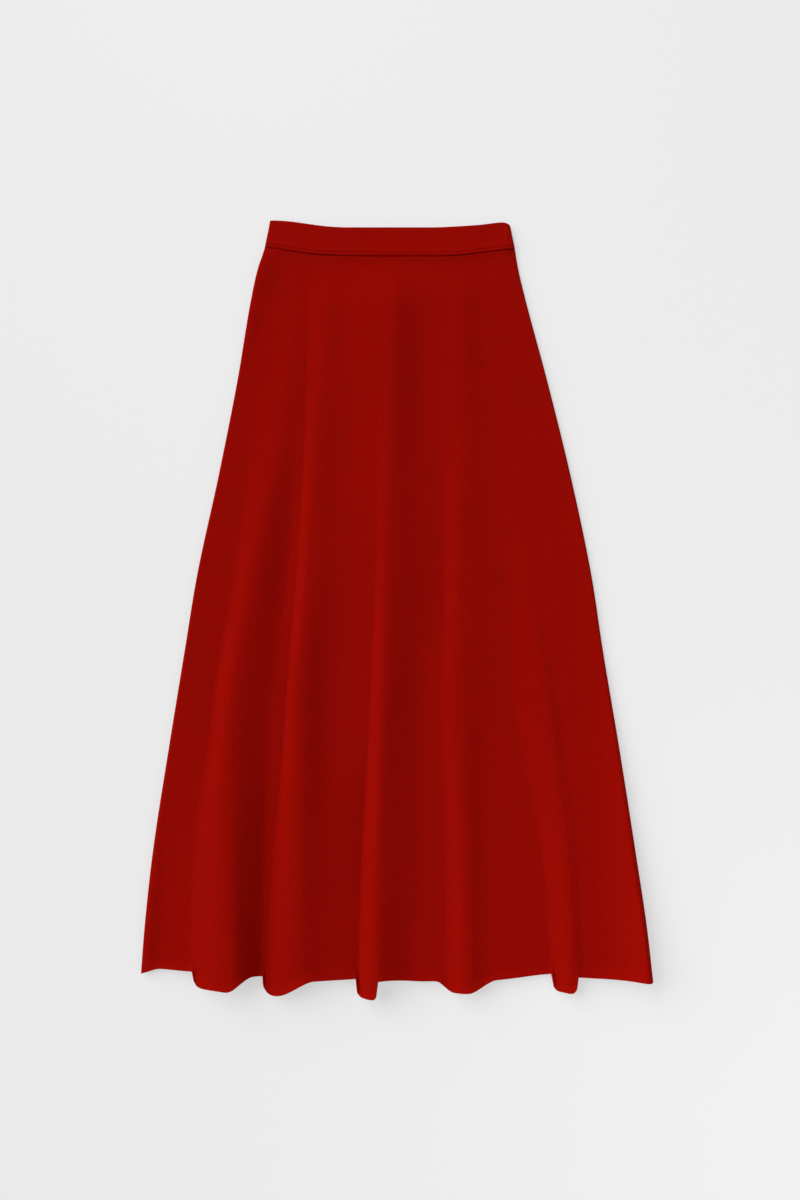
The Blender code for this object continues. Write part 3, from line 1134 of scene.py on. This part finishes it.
@dataclass
class Waistband:
    """Half of the doubled waistband: its section swept across it, closed at both ends.

    Its outer face swells towards the lip, in part evenly and in part late, by the swell's power.
    """

    name: str
    node: str
    layer: Layer
    finish: KnitFinish
    waves: tuple[Crease, ...] = ()
    columns: int = 220
    length: float = 294.0
    passes: int = 4
    end_round: float = 3.0
    end_thin: float = 0.35
    near_end: tuple[float, ...] = (0, 0.05, 0.15, 0.32, 0.6, 1)
    fold_depth: float = 1.2
    arc_points: int = 9
    face_points: int = 11
    face_start: float = 0.12
    swell_start: float = 0.3
    swell_end: float = 0.83
    even_share: float = 0.4
    swell_power: int = 4
    groove_up: float = 4.1
    groove_half: float = 1.0
    groove_reach: float = 1.3
    groove_depth: float = 0.45
    lip_out: float = 4.6
    lip_depth: float = 1.1
    lip_turn: float = -60.0
    inner_points: int = 7
    inner_end: float = 0.1

    def section(self) -> list[BandPoint]:
        """Works out the section.

        Returns:
            Its points from the inner face over the top fold, down the outer face with its groove and its
            lip, and back up the inner face.
        """
        points = []
        for turn in np.radians(np.linspace(-90, 90, self.arc_points)):
            fold = self.fold_depth * (1 - math.cos(turn))
            points.append(BandPoint(0, fold, BAND / 2 * (1 + math.sin(turn))))
        for share in np.linspace(self.face_start, self.swell_end, self.face_points):
            along = max(0.0, (share - self.swell_start) / (self.swell_end - self.swell_start))
            swell = self.even_share * along + (1 - self.even_share) * along**self.swell_power
            points.append(BandPoint(share, 0, BAND + (self.lip_out - BAND) * swell))
        for aside in np.linspace(-self.groove_reach, self.groove_reach, self.face_points):
            below = aside * self.groove_half - self.groove_up
            dip = math.cos(math.pi / 2 * min(abs(aside), 1)) ** 2
            points.append(BandPoint(1, below, self.lip_out - self.groove_depth * dip))
        for turn in np.radians(np.linspace(90, self.lip_turn, self.arc_points)):
            out = self.lip_out * (0.5 + 0.5 * math.sin(turn))
            points.append(BandPoint(1, -self.lip_depth * (1 - math.cos(turn)), out))
        for share in np.linspace(1 - self.inner_end, self.inner_end, self.inner_points):
            points.append(BandPoint(share, 0, 0))
        return points

    def face(self) -> tuple[Array, Array]:
        """Works out the skin of the band.

        Returns:
            Rows of (x, drop, z) in millimetres, one for each point of the section, and the flat cloth map.
        """
        ends = self.end_round / self.length * np.array(self.near_end)
        even = np.linspace(0, 1, self.columns)
        between = even[(even > ends[-1]) & (even < 1 - ends[-1])]
        across = np.concatenate([ends, between, 1 - ends[::-1]])
        section = self.section()
        section.append(section[0])
        points = np.empty((len(section), len(across), 3))
        for row, point in enumerate(section):
            x = (across - 0.5) * self.length
            for _ in range(self.passes):
                top, seam = WAIST.at(self.layer.top_column, x), WAIST.at("seam", x)
                drop = top + point.share * (seam - top) + point.offset
                left, right = Edge.LEFT.at(drop), Edge.RIGHT.at(drop)
                x = left + across * (right - left)
            from_end = np.minimum(across, 1 - across) * (right - left)
            rounded = np.sqrt(1 - (1 - np.clip(from_end / self.end_round, 0, 1)) ** 2)
            full = self.end_thin + (1 - self.end_thin) * rounded
            waves = sum((wave.lift(x, drop) for wave in self.waves), 0 * x) * min(point.out / BAND, 1)
            out = point.out * full + waves * rounded
            up = BAND + BAND_GAP + out if self.layer is Layer.FRONT else BAND - np.minimum(out, BAND)
            points[row] = np.stack([x, drop, up], axis=-1)
        steps = np.hypot(np.diff(points[..., 1], axis=0), np.diff(points[..., 2], axis=0))
        round_it = np.concatenate([np.zeros((1, len(across))), np.cumsum(steps, axis=0)])
        return points, np.stack([points[..., 0], -round_it], axis=-1) * MM

    def build(self) -> bpy.types.Object:
        """Makes the band, welded into a closed tube.

        Returns:
            The dressed half of the band, which stands for its solid.
        """
        points, cloth_map = self.face()
        mesh = shaped_grid(placed(points), cloth_map)
        bmesh.ops.remove_doubles(mesh, verts=mesh.verts[:], dist=WELD)
        bmesh.ops.holes_fill(mesh, edges=[edge for edge in mesh.edges if edge.is_boundary], sides=0)
        bmesh.ops.recalc_face_normals(mesh, faces=mesh.faces[:])
        piece = finished(mesh, self.name, self.finish.material())
        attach(piece, BODY)
        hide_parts(self.node)
        return piece


# ---------------------------------------------------------------- stitches


class Lie(Enum):
    """Which way stitches point."""

    ACROSS = "from side to side"
    UPRIGHT = "off the table"


@dataclass(frozen=True)
class StitchKind:
    """The stitches of one kind of seam: how many in a row, their size and how they lie.

    Each turns by the slant, in radians, one to the left and the next to the right.
    """

    count: int
    length: float
    thickness: float
    slant: float
    lie: Lie


LINKING = StitchKind(count=148, length=2.1, thickness=0.8, slant=0.35, lie=Lie.ACROSS)
CLOSING = StitchKind(count=290, length=1.5, thickness=0.5, slant=0.0, lie=Lie.UPRIGHT)


@dataclass(frozen=True)
class GrooveRoute:
    """The route of the linking stitches in the groove of one half of the band."""

    band: Waistband
    left: float = -148.0
    right: float = 134.0
    sunk: float = 0.1

    def at(self, share: Array) -> Array:
        """Works out the groove's own places.

        Args:
            share: shares of the way across.

        Returns:
            Rows of (x, drop, z) in millimetres.
        """
        x = self.left + share * (self.right - self.left)
        drop = WAIST.at("seam", x) - self.band.groove_up
        out = self.band.lip_out - self.band.groove_depth - self.sunk
        z = BAND + BAND_GAP + out if self.band.layer is Layer.FRONT else BAND - out
        return np.stack([x, drop, z + 0 * x], axis=-1)


@dataclass(frozen=True)
class RimRoute:
    """The route of the stitches that close one side seam, where the two panels' rims meet."""

    edge: Edge
    start: float = 28.0
    short: float = 8.0
    sunk: float = 0.05

    def at(self, share: Array) -> Array:
        """Works out the rims' own places.

        Args:
            share: shares of the way down.

        Returns:
            Rows of (x, drop, z) in millimetres.
        """
        drop = self.start + share * (HEM_DROP - self.short - self.start)
        x = self.edge.at(drop) + self.sunk * self.edge.value
        return np.stack([x, drop, self.edge.roll(drop) / 2], axis=-1)


@dataclass
class StitchRow:
    """A row of short stitches, joined into one mesh."""

    name: str
    kind: StitchKind
    route: GrooveRoute | RimRoute
    finish: ThreadFinish = LINKING_YARN

    def build(self) -> bpy.types.Object:
        """Makes the row.

        Returns:
            One piece, with a slim bead for each stitch.
        """
        kind = self.kind
        middles = placed(self.route.at((np.arange(kind.count) + 0.5) / kind.count))
        shape = Matrix.Diagonal((kind.length / 2 * MM, kind.thickness / 2 * MM, kind.thickness / 2 * MM, 1))
        if kind.lie is Lie.UPRIGHT:
            shape = Matrix.Rotation(math.pi / 2, 4, "Y") @ shape
        bead = bmesh.new()
        bmesh.ops.create_uvsphere(bead, u_segments=8, v_segments=6, radius=1.0)
        one = bpy.data.meshes.new(self.name + "_one")
        mesh = bmesh.new()
        for i, middle in enumerate(middles):
            stitch = bead.copy()
            turn = Matrix.Rotation(kind.slant * (1 if i % 2 else -1), 4, "Z")
            stitch.transform(Matrix.Translation(Vector(middle)) @ turn @ shape)
            stitch.to_mesh(one)
            stitch.free()
            mesh.from_mesh(one)
        bead.free()
        bpy.data.meshes.remove(one)
        piece = finished(mesh, self.name, self.finish.material())
        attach(piece, BODY)
        return piece


# ---------------------------------------------------------------- studio


@dataclass(frozen=True)
class Lamp:
    """A broad soft lamp far off, by its strength and by angles in degrees.

    The heading is where it stands round the table, from +X towards +Y, and the height is above the table.
    """

    name: str
    strength: float
    heading: float
    height: float
    softness: float

    def build(self) -> None:
        """Sets the lamp up, turned to the table."""
        light = bpy.data.lights.new(self.name, "SUN")
        light.energy = self.strength
        light.angle = math.radians(self.softness)
        lamp = bpy.data.objects.new(self.name, light)
        heading, height = math.radians(self.heading), math.radians(self.height)
        away = Vector((math.cos(heading), math.sin(heading), math.tan(height)))
        lamp.rotation_euler = away.to_track_quat("Z", "Y").to_euler()
        bpy.context.scene.collection.objects.link(lamp)


@dataclass(frozen=True)
class SoftBox:
    """A square lamp near the skirt, in metres, which lights what lies under it more than the rest."""

    name: str
    power: float
    place: tuple[float, float, float]
    aim: tuple[float, float, float]
    size: float

    def build(self) -> None:
        """Sets the lamp up at its place, turned to where it aims."""
        light = bpy.data.lights.new(self.name, "AREA")
        light.energy = self.power
        light.size = self.size
        lamp = bpy.data.objects.new(self.name, light)
        lamp.location = self.place
        lamp.rotation_euler = (Vector(self.place) - Vector(self.aim)).to_track_quat("Z", "Y").to_euler()
        bpy.context.scene.collection.objects.link(lamp)


@dataclass
class Studio:
    """A plain pale table under even light, with a soft key lamp from the upper left and three weaker ones."""

    floor_size: float = 9.0
    floor_drop: float = 0.0003
    sky: float = 0.235
    lamps: tuple[Lamp | SoftBox, ...] = (
        Lamp("key", 3.29, heading=146, height=34, softness=60),
        Lamp("fill", 0.35, heading=-12, height=27, softness=60),
        SoftBox("hem_light", 1.35, place=(0.62, -0.72, 0.7), aim=(0.3, -0.4, 0.0), size=0.4),
        SoftBox("waist_light", 0.92, place=(-0.25, 0.95, 0.75), aim=(0.0, 0.4, 0.0), size=0.4),
    )
    finish: FloorFinish = FloorFinish()

    def build(self) -> None:
        """Lays the table, and sets the sky and the lamps."""
        mesh = bmesh.new()
        bmesh.ops.create_grid(mesh, x_segments=1, y_segments=1, size=self.floor_size / 2)
        bmesh.ops.translate(mesh, verts=mesh.verts[:], vec=(0, 0, CAD_BOX[0].z - self.floor_drop))
        finished(mesh, "table", self.finish.material())
        world = bpy.data.worlds.new("studio")
        world.use_nodes = True
        background = world.node_tree.nodes["Background"]
        background.inputs["Color"].default_value = WHITE
        background.inputs["Strength"].default_value = self.sky
        bpy.context.scene.world = world
        for lamp in self.lamps:
            lamp.build()


@dataclass
class PhotoCamera:
    """The photograph's own view: straight down on the skirt, with its waist at the top.

    A pixel is so many millimetres of the table, and the origin's pixel shows the top of the waistband's
    middle. The distance and the sensor are in millimetres too.
    """

    frame_pixels: tuple[int, int] = (800, 1200)
    pixel: float = 1.2
    origin_pixel: tuple[float, float] = (396.0, 228.0)
    distance: float = 1800.0
    sensor: float = 36.0

    def build(self) -> None:
        """Places the camera over the middle of the photograph's frame."""
        width, height = self.frame_pixels
        lens = bpy.data.cameras.new("photo")
        lens.sensor_width = self.sensor
        lens.lens = self.sensor * self.distance / (height * self.pixel)
        camera = bpy.data.objects.new("photo", lens)
        across = (width / 2 - self.origin_pixel[0]) * self.pixel
        down = (height / 2 - self.origin_pixel[1]) * self.pixel
        camera.location = Vector((across, WAIST_Y - down, self.distance + FRONT_FACE)) * MM
        bpy.context.scene.collection.objects.link(camera)
        bpy.context.scene.camera = camera
        bpy.context.scene.view_settings.view_transform = "Standard"


# ---------------------------------------------------------------- the whole


def main() -> None:
    """Builds every piece of the skirt and its studio, and logs how many points each piece has before its
    modifiers.
    """
    logging.basicConfig(level=logging.INFO, format="%(message)s")
    front = FrontPanel("front_panel", "skirt_front", Layer.FRONT, SKIRT_KNIT, FRONT_RELIEF).build()
    back = BackPanel("back_panel", "skirt_back", Layer.BACK, SKIRT_KNIT, BACK_RELIEF).build()
    front_band = Waistband("front_band", "waistband_front", Layer.FRONT, BAND_KNIT, BAND_WAVES)
    back_band = Waistband("back_band", "waistband_back", Layer.BACK, BAND_KNIT, lip_out=BAND)
    bands = [band.build() for band in (front_band, back_band)]
    rows = (
        StitchRow("front_linking", LINKING, GrooveRoute(front_band)),
        StitchRow("back_linking", LINKING, GrooveRoute(back_band)),
        StitchRow("left_seam_stitches", CLOSING, RimRoute(Edge.LEFT)),
        StitchRow("right_seam_stitches", CLOSING, RimRoute(Edge.RIGHT)),
    )
    stitches = [row.build() for row in rows]
    Studio().build()
    PhotoCamera().build()
    for piece in (front, back, *bands, *stitches):
        log.info("%s: %d points before its modifiers", piece.name, len(piece.data.vertices))


if __name__ == "__main__":
    main()
